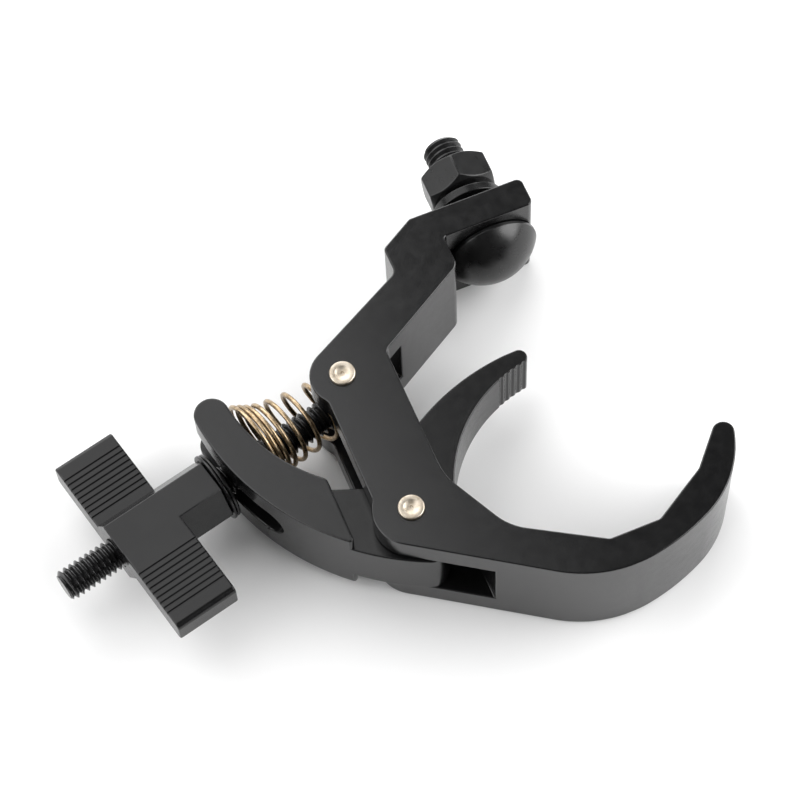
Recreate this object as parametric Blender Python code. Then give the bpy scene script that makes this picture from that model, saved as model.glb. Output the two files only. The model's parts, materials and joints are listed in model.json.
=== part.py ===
"""Quick-release hook clamp for 48 to 51 mm tube, lying on its side.

A slotted aluminium body carries the hook and the fixture plate.  A lever jaw
turns on the lower pin, and a swing bolt with a wing nut turns on the upper
pin.  The wing nut draws the jaw's forked arm towards the body and closes the
jaw on the tube.  A conical spring on the swing bolt pushes the jaw open.

The extrusion direction of the body is +Z.  The fixture plate lies along +X
and the fixture bolt points along +Y.  Plan dimensions are in millimetres from
the lower pin's axis and become metres when a mesh is made.
"""

import math

import bmesh
import bpy
from mathutils import Matrix, Vector

MM = 0.001
GAP = 0.3                      # clearance between neighbouring pieces

# ---------------------------------------------------------------- placing
LOWER_PIN_X = 2.085            # lower pin's axis in the part's own frame
LOWER_PIN_Y = -31.544
UPPER_PIN = (-1.7, 38.7)       # upper pin from the lower pin
ROD_ANGLE = 193.5              # swing bolt's direction, degrees from +X
BOLT_X = 47.5                  # fixture bolt's axis, beside the lower pin

# ---------------------------------------------------------------- body
BODY_W = 30.0                  # width of the extrusion
MID_Z = BODY_W / 2
SLOT_W = 16.0                  # milled centre slot
SLOT_END_X = 12.8              # slot's end wall in the hook
PLATE_Y0 = 63.8                # fixture plate
PLATE_Y1 = 71.8
PLATE_X1 = 58.9
LOWER_KNUCKLE_R = 9.3
UPPER_KNUCKLE_R = 7.9
WALL_X = -7.5                  # upright's outer wall
HOOK_R = (27.7, 58.0, 32.0)    # hook's outer radii, tip to heel
HOOK_TIP_R = 2.7
PIN_R = 3.3
PIN_BORE_R = PIN_R + GAP
PIN_PROUD = 0.9

# ---------------------------------------------------------------- jaw lever
ARM_W = 24.0
TONGUE_W = 15.2
STEP_X = -14.85                # where the wide arm steps down to the tongue
ARM_OUTER = (27.64, 48.47, 66.06)
ARM_INNER = (14.14, 49.57, 44.24)
ARM_TIP_R = 4.27
FORK_W = 9.5
FORK_AT = 208.4                # middle of the fork's inner end, degrees round ARM_OUTER
FINGER_INNER = (47.4, -8.3, 36.9)
FINGER_OUTER = (42.11, -26.88, 58.76)

# ---------------------------------------------------------------- swing bolt
ROD_R = 4.0
ROD_END = 81.5                 # from the upper pin's axis
EYE_R = 6.4
EYE_W = 8.6
COLLAR_AT = 36.65              # collar washer's face on the jaw's arm
COLLAR_R = 8.6
COLLAR_T = 0.95
WASHER_R = 8.8
WASHER_T = 0.65

# ---------------------------------------------------------------- wing nut
BOSS_AF = 14.7
BOSS_LEN = 11.7
WING_LEN = 16.3
WING_SPAN = 27.6
WING_T = BOSS_AF / 2           # each wing is half as thick as the boss
GROOVES = 9
GROOVE_PITCH = 1.5
GROOVE_DEPTH = 0.35

# ---------------------------------------------------------------- spring
WIRE_R = 0.6
SPRING_R = 9.5                 # coil's mean radius near the jaw's arm
SPRING_TAPER = 0.44            # radius lost with each turn towards the eye
SPRING_SEAT = 5.7              # near side's distance from the rod's axis
SPRING_TURNS = (-1.8, 5.1)     # turns counted from the arm's last open coil
SPRING_START = 142.0           # degrees round the rod at turn 0
SPRING_PITCH = 1.4             # between the close turns at the arm
SPRING_OPENING = 1.2           # pitch gained with each turn after SPRING_OPENS
SPRING_OPENS = 0.75
SPRING_CLOSE_S = 20.7          # along the rod, where the turns begin to open
SPRING_LEAN = 0.067            # slant of the close turns
SPRING_LEAN_GAIN = 0.315       # share by which the slant grows with each turn

# ---------------------------------------------------------------- fixture bolt
BOLT_R = 5.0
BOLT_END_Y = 96.3
DOME_R = 12.0
DOME_H = 6.8
NUT_AF = 17.0
NUT_Y0 = 80.3
NUT_H = 8.4


# ================================================================ outlines
def polar(centre, radius, degrees):
    a = math.radians(degrees)
    return (centre[0] + radius * math.cos(a), centre[1] + radius * math.sin(a))


def arc(centre, radius, start, end, step=7.0):
    """Points of an arc from start to end degrees, in either direction."""
    count = max(1, math.ceil(abs(end - start) / step))
    return [polar(centre, radius, start + (end - start) * i / count) for i in range(count + 1)]


def angle_of(centre, point):
    return math.degrees(math.atan2(point[1] - centre[1], point[0] - centre[0]))


def corner(before, vertex, after, radius, step=12.0):
    """A rounded corner at vertex, between the two points beside it."""
    v = Vector(vertex)
    a = (Vector(before) - v).normalized()
    b = (Vector(after) - v).normalized()
    half = a.angle(b) / 2
    reach = radius / math.tan(half)
    centre = v + (a + b).normalized() * radius / math.sin(half)
    start = angle_of(centre, v + a * reach)
    turn = (angle_of(centre, v + b * reach) - start + 180.0) % 360.0 - 180.0
    return arc(centre, radius, start, start + turn, step)


def rounded(points):
    """Open polyline of (x, y, radius) whose inner vertices are rounded."""
    out = [points[0][:2]]
    for i in range(1, len(points) - 1):
        x, y, r = points[i]
        out += corner(points[i - 1][:2], (x, y), points[i + 1][:2], r) if r else [(x, y)]
    return out + [points[-1][:2]]


def clean(points, near=0.02):
    """The closed outline without points that fall on the one before."""
    out = []
    for p in points:
        if not out or math.dist(p, out[-1]) > near:
            out.append(p)
    if math.dist(out[0], out[-1]) <= near:
        out.pop()
    return out


def circle_crossing(c1, r1, c2, r2, side):
    """Where two circles cross, on the given side of the line c1 to c2."""
    d = math.dist(c1, c2)
    along = (r1 * r1 - r2 * r2 + d * d) / (2 * d)
    off = math.sqrt(r1 * r1 - along * along) * side
    ux, uy = (c2[0] - c1[0]) / d, (c2[1] - c1[1]) / d
    return (c1[0] + ux * along - uy * off, c1[1] + uy * along + ux * off)


def body_outline():
    """The clamp body seen along its extrusion, clockwise."""
    pts = []
    fillet = 3.0
    # upper knuckle, joined to the upright's wall by a hollow fillet
    cx = WALL_X - fillet
    reach = UPPER_KNUCKLE_R + fillet
    dy = math.sqrt(reach ** 2 - (cx - UPPER_PIN[0]) ** 2)
    upper_fillet = (cx, UPPER_PIN[1] - dy)
    pts += arc(upper_fillet, fillet, 0.0, angle_of(upper_fillet, UPPER_PIN), 12.0)
    start = angle_of(UPPER_PIN, upper_fillet) % 360.0
    pts += arc(UPPER_PIN, UPPER_KNUCKLE_R, start, 117.8)
    # slanted neck, fixture plate and the inside of the frame
    pts += rounded([
        (pts[-1][0], pts[-1][1], 0),
        (20.3, 59.4, 2.5),
        (20.3, 66.5, 1.5),
        (29.2, PLATE_Y1, 1.5),
        (PLATE_X1, PLATE_Y1, 1.7),
        (PLATE_X1, PLATE_Y0, 1.5),
        (35.1, PLATE_Y0, 0.8),
        (35.1, 55.3, 3.0),
        (10.35, 40.6, 2.4),
        (10.35, 4.9, 14.0),
        (19.2, -12.9, 14.0),
        (39.2, -25.05, 2.0),
        (51.9, -25.05, 2.0),
        (65.5, -16.95, 3.0),
        (74.0, -7.9, 0),
    ])[:-1]
    # hook: tip, three outer radii, straight heel
    r1, r2, r3 = HOOK_R
    c1 = (51.0, -3.1)
    tip = polar(c1, r1 - HOOK_TIP_R, -17.6)
    base = (65.5, -16.95)
    sight = angle_of(base, tip)
    lean = math.degrees(math.asin(HOOK_TIP_R / math.dist(base, tip)))
    pts += arc(tip, HOOK_TIP_R, sight + lean + 90.0, -17.6, 15.0)
    c2 = polar(c1, r1 - r2, -65.3)
    c3 = polar(c2, r2 - r3, -81.0)
    pts += arc(c1, r1, -17.6, -65.3)
    pts += arc(c2, r2, -65.3, -81.0, 5.0)
    span = math.dist((0, 0), c3)
    heel = angle_of((0, 0), c3) - math.degrees(math.asin((r3 - LOWER_KNUCKLE_R) / span)) - 90.0
    pts += arc(c3, r3, -81.0, heel)
    # lower knuckle and its fillet to the wall
    reach = LOWER_KNUCKLE_R + fillet
    lower_fillet = (cx, math.sqrt(reach ** 2 - cx ** 2))
    end = angle_of((0, 0), lower_fillet) - 360.0
    pts += arc((0, 0), LOWER_KNUCKLE_R, heel, end)
    pts += arc(lower_fillet, fillet, angle_of(lower_fillet, (0, 0)), 0.0, 12.0)
    return clean(pts)


def jaw_outline():
    """The whole jaw lever seen along the pins, anticlockwise."""
    outer = ARM_OUTER[:2]
    inner = ARM_INNER[:2]
    tip = circle_crossing(outer, ARM_OUTER[2] - ARM_TIP_R, inner, ARM_INNER[2] + ARM_TIP_R, 1)
    pts = arc(tip, ARM_TIP_R, angle_of(tip, inner), angle_of(outer, tip) % 360.0, 15.0)
    pts += arc(outer, ARM_OUTER[2], angle_of(outer, tip) % 360.0, 244.4, 4.0)
    finger = FINGER_INNER[:2]
    root = polar(finger, FINGER_INNER[2], 166.5)
    pts += rounded([(pts[-1][0], pts[-1][1], 0), (3.0, -12.9, 4.0), (root[0], root[1], 0)])[1:]
    # finger's inner arc with its grip grooves near the tip
    first = 111.3
    pitch = 2.7
    pts += arc(finger, FINGER_INNER[2], 166.5, first + 1.0, 5.0)
    for i in range(5):
        at = first - i * pitch
        for turn, deeper in ((0.55, 0.0), (0.0, 0.4), (-0.55, 0.0)):
            pts.append(polar(finger, FINGER_INNER[2] + deeper, at + turn))
    pts += rounded([
        (pts[-1][0], pts[-1][1], 0),
        (41.7, 28.2, 0.7),
        (43.2, 31.9, 1.6),
        (*polar(FINGER_OUTER[:2], FINGER_OUTER[2], 91.6), 0),
    ])[1:]
    pts += arc(FINGER_OUTER[:2], FINGER_OUTER[2], 92.0, 130.0, 4.0)
    # hidden root between the finger and the tongue, then the arm's inner side
    low = polar(inner, ARM_INNER[2], 226.9)
    pts += rounded([
        (pts[-1][0], pts[-1][1], 0),
        (-4.5, 11.3, 5.0),
        (-14.3, 15.0, 0),
        (-15.2, 16.0, 0),
        (low[0], low[1], 0),
    ])[1:]
    pts += arc(inner, ARM_INNER[2], 226.9, angle_of(inner, tip) % 360.0, 5.0)
    return clean(pts)


def wing_outline():
    """Cross-section of the wing nut's wings across its axis, clockwise.

    One wing continues the hexagon's top flat and the other its bottom flat,
    so both end on the plane through the axis.
    """
    half = BOSS_AF / 2
    edge = half / math.sqrt(3)
    low = half - WING_T
    r = 1.0
    top = []
    under = []
    for i in range(GROOVES):
        u = WING_SPAN - 4.6 - (GROOVES - 1 - i) * GROOVE_PITCH
        top += [(u - 0.35, half), (u, half - GROOVE_DEPTH), (u + 0.35, half)]
        under += [(u - 0.35, low), (u, low + GROOVE_DEPTH), (u + 0.35, low)]
    one = [(edge, half)] + top
    one += corner((edge, half), (WING_SPAN, half), (WING_SPAN, low), r, 30.0)
    one += corner((WING_SPAN, half), (WING_SPAN, low), (edge * 2, low), r, 30.0)
    one += under[::-1] + [(edge * 2, low)]
    return clean(one + [(-u, -v) for u, v in one])


# ================================================================ meshes
def to_object(bm, name, parent, smooth_angle=None, location=(0, 0, 0)):
    bmesh.ops.recalc_face_normals(bm, faces=bm.faces)
    mesh = bpy.data.meshes.new(name)
    bm.to_mesh(mesh)
    bm.free()
    obj = bpy.data.objects.new(name, mesh)
    bpy.context.scene.collection.objects.link(obj)
    obj.parent = parent
    obj.location = Vector(location) * MM
    if smooth_angle is not None:
        mesh.shade_smooth()
        mesh.set_sharp_from_angle(angle=math.radians(smooth_angle))
    return obj


def prism(name, outline, low, high, parent, smooth_angle=None, frame=None):
    """Extrude a plan outline from z = low to z = high."""
    bm = bmesh.new()
    face = bm.faces.new([bm.verts.new((x * MM, y * MM, low * MM)) for x, y in outline])
    extruded = bmesh.ops.extrude_face_region(bm, geom=[face])
    top = [v for v in extruded["geom"] if isinstance(v, bmesh.types.BMVert)]
    bmesh.ops.translate(bm, verts=top, vec=(0, 0, (high - low) * MM))
    if frame:
        bmesh.ops.transform(bm, matrix=frame, verts=bm.verts)
    return to_object(bm, name, parent, smooth_angle)


def turned(name, profile, parent, axis="Z", segments=48, smooth_angle=35.0):
    """Spin an (r, h) profile about an axis through the object's origin."""
    bm = bmesh.new()
    closed = min(r for r, h in profile) > 1e-6
    verts = [bm.verts.new((r * MM, 0, h * MM)) for r, h in profile]
    edges = [bm.edges.new((a, b)) for a, b in zip(verts, verts[1:])]
    if closed:
        edges.append(bm.edges.new((verts[-1], verts[0])))
    bmesh.ops.spin(bm, geom=verts + edges, cent=(0, 0, 0), axis=(0, 0, 1),
                   angle=math.tau, steps=segments, use_merge=True, use_duplicate=False)
    bmesh.ops.remove_doubles(bm, verts=bm.verts, dist=1e-6)
    if axis == "X":
        bmesh.ops.rotate(bm, verts=bm.verts, cent=(0, 0, 0), matrix=Matrix.Rotation(math.pi / 2, 3, "Y"))
    if axis == "Y":
        bmesh.ops.rotate(bm, verts=bm.verts, cent=(0, 0, 0), matrix=Matrix.Rotation(-math.pi / 2, 3, "X"))
    return to_object(bm, name, parent, smooth_angle)


def hexagon(flats, turn=0.0):
    return [polar((0, 0), flats / math.sqrt(3), turn + 60.0 * i) for i in range(6)]


def cutter(obj):
    obj.hide_render = True
    obj.display_type = "WIRE"
    return obj


def boolean(obj, other, operation="DIFFERENCE"):
    mod = obj.modifiers.new(operation.title(), "BOOLEAN")
    mod.operation = operation
    mod.object = cutter(other)
    mod.solver = "EXACT"
    return obj


def empty(name, parent=None, location=(0, 0, 0), turn=0.0):
    obj = bpy.data.objects.new(name, None)
    bpy.context.scene.collection.objects.link(obj)
    obj.parent = parent
    obj.location = Vector(location) * MM
    obj.rotation_euler = (0, 0, math.radians(turn))
    return obj


def paint(obj, name, colour, roughness, metallic):
    mat = bpy.data.materials.get(name) or bpy.data.materials.new(name)
    mat.use_nodes = True
    shader = mat.node_tree.nodes["Principled BSDF"]
    shader.inputs["Base Color"].default_value = (*colour, 1.0)
    shader.inputs["Roughness"].default_value = roughness
    shader.inputs["Metallic"].default_value = metallic
    obj.data.materials.append(mat)


# ================================================================ pieces
def make_body(frame):
    body = prism("clamp_body", body_outline(), 0.0, BODY_W, frame, 25.0)
    low = MID_Z - SLOT_W / 2
    high = MID_Z + SLOT_W / 2
    slot = [(SLOT_END_X, -34.0), (SLOT_END_X, 1.5), (24.0, 1.5), (24.0, 27.3),
            (8.0, 56.2), (-30.0, 56.2), (-30.0, -34.0)]
    boolean(body, prism("slot_cutter", slot, low, high, frame))
    for name, place in (("lower_bore_cutter", (0.0, 0.0)), ("upper_bore_cutter", UPPER_PIN)):
        bore = prism(name, arc(place, PIN_BORE_R, 0.0, 352.5, 7.5), -2.0, BODY_W + 2.0, frame)
        boolean(body, bore)
    # plate hole: square recess for the bolt's neck, then round
    across = (BOLT_R + GAP) * math.sqrt(2)
    depth = 5.8
    square = [polar((0, 0), across, 45.0 + 90.0 * i) for i in range(4)]
    stand = Matrix.Translation(Vector((BOLT_X, 0, MID_Z)) * MM) @ Matrix.Rotation(-math.pi / 2, 4, "X")
    boolean(body, prism("neck_cutter", square, PLATE_Y0 - 3.0, PLATE_Y0 + depth, frame, frame=stand))
    ring = arc((0, 0), BOLT_R + GAP, 0.0, 352.5, 7.5)
    boolean(body, prism("plate_bore_cutter", ring, PLATE_Y0 + 1.0, PLATE_Y1 + 3.0, frame, frame=stand))
    paint(body, "body_black", (0.018, 0.018, 0.019), 0.42, 0.2)


def make_jaw(axis):
    jaw = prism("jaw_lever", jaw_outline(), MID_Z - ARM_W / 2, MID_Z + ARM_W / 2, axis, 25.0)
    wide = [(STEP_X, -40.0), (60.0, -40.0), (60.0, 60.0), (STEP_X, 60.0)]
    top = MID_Z + TONGUE_W / 2
    boolean(jaw, prism("tongue_top_cutter", wide, top, top + 20.0, axis))
    low = MID_Z - TONGUE_W / 2
    boolean(jaw, prism("tongue_under_cutter", wide, low - 20.0, low, axis))
    # fork: open at the arm's tip, round at its inner end
    c = Vector(polar(ARM_OUTER[:2], ARM_OUTER[2], FORK_AT))
    along = Vector(polar((0, 0), 1.0, FORK_AT - 90.0))
    across = Vector(polar((0, 0), 1.0, FORK_AT))
    fork = [c + across * 12, c + across * 12 + along * 60, c - across * 30 + along * 60, c - across * 30]
    boolean(jaw, prism("fork_cutter", [tuple(p) for p in fork], MID_Z - FORK_W / 2, MID_Z + FORK_W / 2, axis))
    turn = Matrix.Translation(Vector((c.x, c.y, MID_Z)) * MM)
    turn = turn @ Matrix.Rotation(math.radians(FORK_AT), 4, "Z") @ Matrix.Rotation(math.pi / 2, 4, "Y")
    end = prism("fork_end_cutter", arc((0, 0), FORK_W / 2, 0.0, 352.5, 7.5), -30.0, 12.0, axis, frame=turn)
    boolean(jaw, end)
    bore = prism("jaw_bore_cutter", arc((0, 0), PIN_BORE_R, 0.0, 352.5, 7.5), -2.0, BODY_W + 2.0, axis)
    boolean(jaw, bore)
    paint(jaw, "jaw_black", (0.02, 0.02, 0.021), 0.45, 0.2)


def make_pin(name, parent, location):
    """A staked pin: domed at the top with a shallow punch mark."""
    low = 0.2
    high = BODY_W + PIN_PROUD
    profile = [(0.0, low), (PIN_R - 0.4, low), (PIN_R, low + 0.4), (PIN_R, BODY_W + 0.25)]
    profile += [(PIN_R - 0.12, BODY_W + 0.55), (PIN_R - 0.6, high - 0.1), (PIN_R - 1.4, high)]
    profile += [(0.8, high - 0.05), (0.0, high - 0.25)]
    pin = turned(name, profile, parent)
    pin.location = Vector((location[0], location[1], 0)) * MM
    paint(pin, "pin_steel", (0.62, 0.58, 0.53), 0.32, 0.9)


def make_swing_bolt(axis):
    """Eye bolt: a plain rod of the thread's major diameter with a turned eye."""
    tip = 0.8
    profile = [(0.0, 3.0), (ROD_R, 3.0), (ROD_R, ROD_END - tip), (ROD_R - tip, ROD_END), (0.0, ROD_END)]
    rod = turned("rod_tool", profile, axis, axis="X", segments=40)
    ring = arc((0, 0), EYE_R, 0.0, 352.5, 7.5)
    eye = prism("swing_bolt", ring, -EYE_W / 2, EYE_W / 2, axis, 25.0)
    boolean(eye, rod, "UNION")
    hole = prism("eye_bore_cutter", arc((0, 0), PIN_BORE_R, 3.75, 356.25, 7.5), -EYE_W, EYE_W, axis)
    boolean(eye, hole)
    paint(eye, "thread_black", (0.012, 0.012, 0.013), 0.25, 0.6)


def make_spring(axis):
    """Conical spring leaning on one side of the rod.

    The coils lie close together at the jaw's arm and open towards the eye,
    where the wire ends beside the eye.  Open coils lie at a steeper slant.
    """
    path = []
    steps = 20
    first, last = SPRING_TURNS
    count = round((last - first) * steps)
    for i in range(count + 1):
        q = first + (last - first) * i / count
        r = SPRING_R - SPRING_TAPER * q
        a = math.radians(360.0 * q - SPRING_START)
        y = SPRING_SEAT - r + r * math.cos(a)
        open_turns = max(q - SPRING_OPENS, 0.0)
        x = SPRING_CLOSE_S - SPRING_PITCH * (q - SPRING_OPENS) - SPRING_OPENING / 2 * open_turns ** 2
        lean = SPRING_LEAN * (1.0 + SPRING_LEAN_GAIN * max(q, 0.0)) * r * math.cos(a)
        path.append(Vector((x - lean, y, r * math.sin(a))))
    bm = bmesh.new()
    sides = 6
    rings = []
    for i, p in enumerate(path):
        along = (path[min(i + 1, count)] - path[max(i - 1, 0)]).normalized()
        out = (Vector((0, p.y, p.z)) - along * along.dot(Vector((0, p.y, p.z)))).normalized()
        side = along.cross(out)
        ring = []
        for k in range(sides):
            b = math.tau * k / sides
            ring.append(bm.verts.new((p + (out * math.cos(b) + side * math.sin(b)) * WIRE_R) * MM))
        rings.append(ring)
    for one, two in zip(rings, rings[1:]):
        for k in range(sides):
            j = (k + 1) % sides
            bm.faces.new((one[k], one[j], two[j], two[k]))
    bm.faces.new(rings[0])
    bm.faces.new(rings[-1])
    spring = to_object(bm, "coil_spring", axis, 60.0)
    paint(spring, "spring_bronze", (0.42, 0.30, 0.16), 0.3, 1.0)


def make_washers(axis):
    bore = ROD_R + GAP
    a = COLLAR_AT
    b = a + COLLAR_T
    profile = [(bore, a), (COLLAR_R - 0.3, a), (COLLAR_R, a + 0.3), (COLLAR_R, b - 0.4), (COLLAR_R - 0.5, b),
               (bore, b)]
    collar = turned("collar_washer", profile, axis, axis="X")
    paint(collar, "washer_black", (0.02, 0.02, 0.021), 0.35, 0.4)
    a = b + 0.15
    b = a + WASHER_T
    profile = [(bore, a), (WASHER_R, a), (WASHER_R, b), (bore, b)]
    washer = turned("flat_washer", profile, axis, axis="X")
    paint(washer, "washer_black", (0.02, 0.02, 0.021), 0.35, 0.4)
    return b


def make_wing_nut(axis, start):
    """Hexagon boss towards the jaw, offset wings behind it, round bore."""
    on_end = Matrix.Rotation(math.pi / 2, 4, "Z") @ Matrix.Rotation(math.pi / 2, 4, "X")
    a = start + 0.2
    b = a + BOSS_LEN
    c = b + WING_LEN
    nut = prism("wing_nut", wing_outline(), b, c, axis, 25.0, frame=on_end)
    boss = prism("boss_tool", hexagon(BOSS_AF), a, b + 1.0, axis, frame=on_end)
    boolean(nut, boss, "UNION")
    bore = prism("nut_bore_cutter", arc((0, 0), ROD_R + GAP, 0.0, 352.5, 7.5), a - 3.0, c + 3.0, axis,
                 frame=on_end)
    boolean(nut, bore)
    paint(nut, "wing_nut_black", (0.024, 0.024, 0.025), 0.5, 0.2)


def make_fixture_bolt(axis):
    """Cup-head bolt with a square neck; the axis runs along +Y."""
    head_y = PLATE_Y0 - GAP
    sphere = (DOME_R ** 2 + DOME_H ** 2) / (2 * DOME_H)
    rim = 0.8
    profile = []
    count = 9
    full = math.asin(DOME_R / sphere)
    for i in range(count + 1):
        a = full * i / count
        profile.append((sphere * math.sin(a), head_y - rim - DOME_H + sphere * (1 - math.cos(a))))
    profile += [(DOME_R, head_y), (BOLT_R, head_y), (BOLT_R, BOLT_END_Y - 1.0), (BOLT_R - 1.0, BOLT_END_Y),
                (0.0, BOLT_END_Y)]
    bolt = turned("fixture_bolt", profile, axis, axis="Y")
    square = [polar((0, 0), BOLT_R * math.sqrt(2), 45.0 + 90.0 * i) for i in range(4)]
    neck = prism("neck_tool", square, head_y - 0.4, head_y + 5.4, axis,
                 frame=Matrix.Rotation(-math.pi / 2, 4, "X"))
    boolean(bolt, neck, "UNION")
    paint(bolt, "bolt_black", (0.015, 0.015, 0.016), 0.35, 0.4)


def make_fixture_washers(axis):
    bore = BOLT_R + GAP
    a = PLATE_Y1 + GAP
    b = a + 1.8
    profile = [(bore, a), (9.7, a), (10.0, a + 0.3), (10.0, b - 0.3), (9.7, b), (bore, b)]
    flat = turned("fixture_washer", profile, axis, axis="Y")
    paint(flat, "washer_black", (0.02, 0.02, 0.021), 0.35, 0.4)
    # spring washer: one turn of a square bar with its ends sprung apart
    wide = 3.7
    thick = 2.2
    rise = 2.9
    low = b + GAP
    bm = bmesh.new()
    rings = []
    count = 46
    for i in range(count + 1):
        a = math.radians(200.0 + 350.0 * i / count)
        y = low + rise * i / count
        ring = []
        for dr, dy in ((0, 0), (wide, 0), (wide, thick), (0, thick)):
            r = bore + dr
            ring.append(bm.verts.new((r * math.cos(a) * MM, (y + dy) * MM, r * math.sin(a) * MM)))
        rings.append(ring)
    for one, two in zip(rings, rings[1:]):
        for k in range(4):
            j = (k + 1) % 4
            bm.faces.new((one[k], one[j], two[j], two[k]))
    bm.faces.new(rings[0])
    bm.faces.new(rings[-1])
    lock = to_object(bm, "lock_washer", axis, 40.0)
    paint(lock, "lock_black", (0.03, 0.03, 0.03), 0.3, 0.6)


def make_fixture_nut(axis):
    """Hexagon nut, both faces chamfered by a turned blank."""
    lie = Matrix.Rotation(-math.pi / 2, 4, "X")
    nut = prism("fixture_nut", hexagon(NUT_AF, 25.0), NUT_Y0, NUT_Y0 + NUT_H, axis, 25.0, frame=lie)
    tall = NUT_AF / math.sqrt(3)
    flat = NUT_AF / 2 - 0.2
    fall = (tall - flat) * math.tan(math.radians(32.0))
    a = NUT_Y0 - 0.01
    b = NUT_Y0 + NUT_H + 0.01
    profile = [(0.0, a), (flat, a), (tall + 0.2, a + fall), (tall + 0.2, b - fall), (flat, b), (0.0, b)]
    boolean(nut, turned("nut_blank", profile, axis, axis="Y"), "INTERSECT")
    ring = arc((0, 0), BOLT_R + GAP, 0.0, 352.5, 7.5)
    boolean(nut, prism("fixture_nut_cutter", ring, NUT_Y0 - 3, NUT_Y0 + NUT_H + 3, axis, frame=lie))
    paint(nut, "nut_black", (0.03, 0.03, 0.03), 0.4, 0.4)


def main():
    for obj in list(bpy.data.objects):
        bpy.data.objects.remove(obj, do_unlink=True)
    frame = empty("clamp_frame", None, (LOWER_PIN_X, LOWER_PIN_Y, 0.0))
    jaw_axis = empty("jaw_axis", frame)
    swing_axis = empty("swing_axis", frame, (UPPER_PIN[0], UPPER_PIN[1], MID_Z), ROD_ANGLE)
    bolt_axis = empty("bolt_axis", frame, (BOLT_X, 0.0, MID_Z))
    make_body(frame)
    make_pin("lower_pin", frame, (0.0, 0.0))
    make_pin("upper_pin", frame, UPPER_PIN)
    make_jaw(jaw_axis)
    make_swing_bolt(swing_axis)
    make_spring(swing_axis)
    make_wing_nut(swing_axis, make_washers(swing_axis))
    make_fixture_bolt(bolt_axis)
    make_fixture_washers(bolt_axis)
    make_fixture_nut(bolt_axis)


main()
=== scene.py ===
"""Looks of the tube hook clamp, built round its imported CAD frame.

Every piece is modelled again at full detail in the place its CAD node holds:
rounded edges, real threads, turned pins, grip grooves and a wound spring.
Plan dimensions are millimetres from the lower pin's axis, as the clamp lies on
its side.  Places come from the frame's joints and from the CAD nodes' extents.
"""

import json
import math

import bmesh
import bpy
from mathutils import Matrix, Vector
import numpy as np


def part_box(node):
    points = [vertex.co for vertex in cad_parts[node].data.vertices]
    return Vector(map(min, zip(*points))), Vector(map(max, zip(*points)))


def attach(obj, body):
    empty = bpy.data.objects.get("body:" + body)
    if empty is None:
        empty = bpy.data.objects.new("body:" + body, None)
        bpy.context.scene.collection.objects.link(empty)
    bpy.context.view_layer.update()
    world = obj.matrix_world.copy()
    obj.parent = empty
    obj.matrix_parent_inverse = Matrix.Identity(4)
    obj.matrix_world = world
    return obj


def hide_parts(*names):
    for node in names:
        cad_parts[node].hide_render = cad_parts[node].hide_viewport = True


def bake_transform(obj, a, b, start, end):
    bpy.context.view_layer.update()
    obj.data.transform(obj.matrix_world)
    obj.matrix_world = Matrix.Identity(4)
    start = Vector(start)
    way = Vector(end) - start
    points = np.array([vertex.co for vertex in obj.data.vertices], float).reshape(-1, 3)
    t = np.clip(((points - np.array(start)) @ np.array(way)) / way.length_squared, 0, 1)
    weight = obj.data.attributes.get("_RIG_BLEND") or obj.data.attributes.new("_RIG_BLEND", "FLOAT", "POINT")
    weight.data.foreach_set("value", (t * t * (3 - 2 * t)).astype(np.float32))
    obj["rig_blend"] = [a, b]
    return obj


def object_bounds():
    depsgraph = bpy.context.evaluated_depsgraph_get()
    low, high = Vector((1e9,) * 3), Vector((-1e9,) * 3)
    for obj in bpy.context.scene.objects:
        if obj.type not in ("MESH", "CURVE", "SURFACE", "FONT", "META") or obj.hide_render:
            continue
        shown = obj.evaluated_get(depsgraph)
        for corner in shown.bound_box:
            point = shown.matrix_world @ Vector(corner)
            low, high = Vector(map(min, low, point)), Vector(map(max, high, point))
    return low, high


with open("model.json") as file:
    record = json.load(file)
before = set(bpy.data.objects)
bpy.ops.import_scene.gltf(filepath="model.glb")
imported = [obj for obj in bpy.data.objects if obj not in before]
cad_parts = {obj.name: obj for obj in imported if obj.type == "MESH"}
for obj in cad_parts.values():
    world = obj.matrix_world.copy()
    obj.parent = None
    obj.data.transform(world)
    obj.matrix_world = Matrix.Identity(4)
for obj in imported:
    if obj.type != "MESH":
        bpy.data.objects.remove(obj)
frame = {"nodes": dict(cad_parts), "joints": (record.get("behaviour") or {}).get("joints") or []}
CAD_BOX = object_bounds()

MM = 0.001
ARC_STEP = 2.5                 # degrees between the points of an arc
CORNER_STEP = 6.0              # the same for a small corner

# ---------------------------------------------------------------- the frame
JOINTS = {joint["name"]: joint for joint in frame["joints"]}
LOWER = Vector(JOINTS["jaw_pivot"]["pos_m"])
UPPER = Vector(JOINTS["swing_bolt_pivot"]["pos_m"])
ROD = -Vector(JOINTS["nut_spin"]["axis"]).normalized()
STUD = Vector(JOINTS["fixture_nut_spin"]["pos_m"])
UPPER_PIN = tuple(((UPPER - LOWER) / MM).xy)
BODY_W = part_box("clamp_body")[1].z / MM
MID_Z = BODY_W / 2
PLAN = Matrix.Translation((LOWER.x, LOWER.y, 0))
SWING = Matrix.Translation(UPPER) @ Matrix.Rotation(math.atan2(ROD.y, ROD.x), 4, "Z")
STAND = Matrix.Translation((STUD.x, LOWER.y, STUD.z))
ALONG_X = Matrix.Rotation(math.pi / 2, 4, "Y")
ALONG_Y = Matrix.Rotation(-math.pi / 2, 4, "X")
ACROSS_ROD = Matrix.Rotation(math.pi / 2, 4, "Z") @ Matrix.Rotation(math.pi / 2, 4, "X")


def extent(node, place, axis):
    """A CAD node's (low, high, radius) in millimetres along and about an axis."""
    turn = place.inverted()
    points = [turn @ v.co / MM for v in frame["nodes"][node].data.vertices]
    heights = [p[axis] for p in points]
    radius = max(math.sqrt(p.length_squared - p[axis] ** 2) for p in points)
    return min(heights), max(heights), radius


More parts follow.
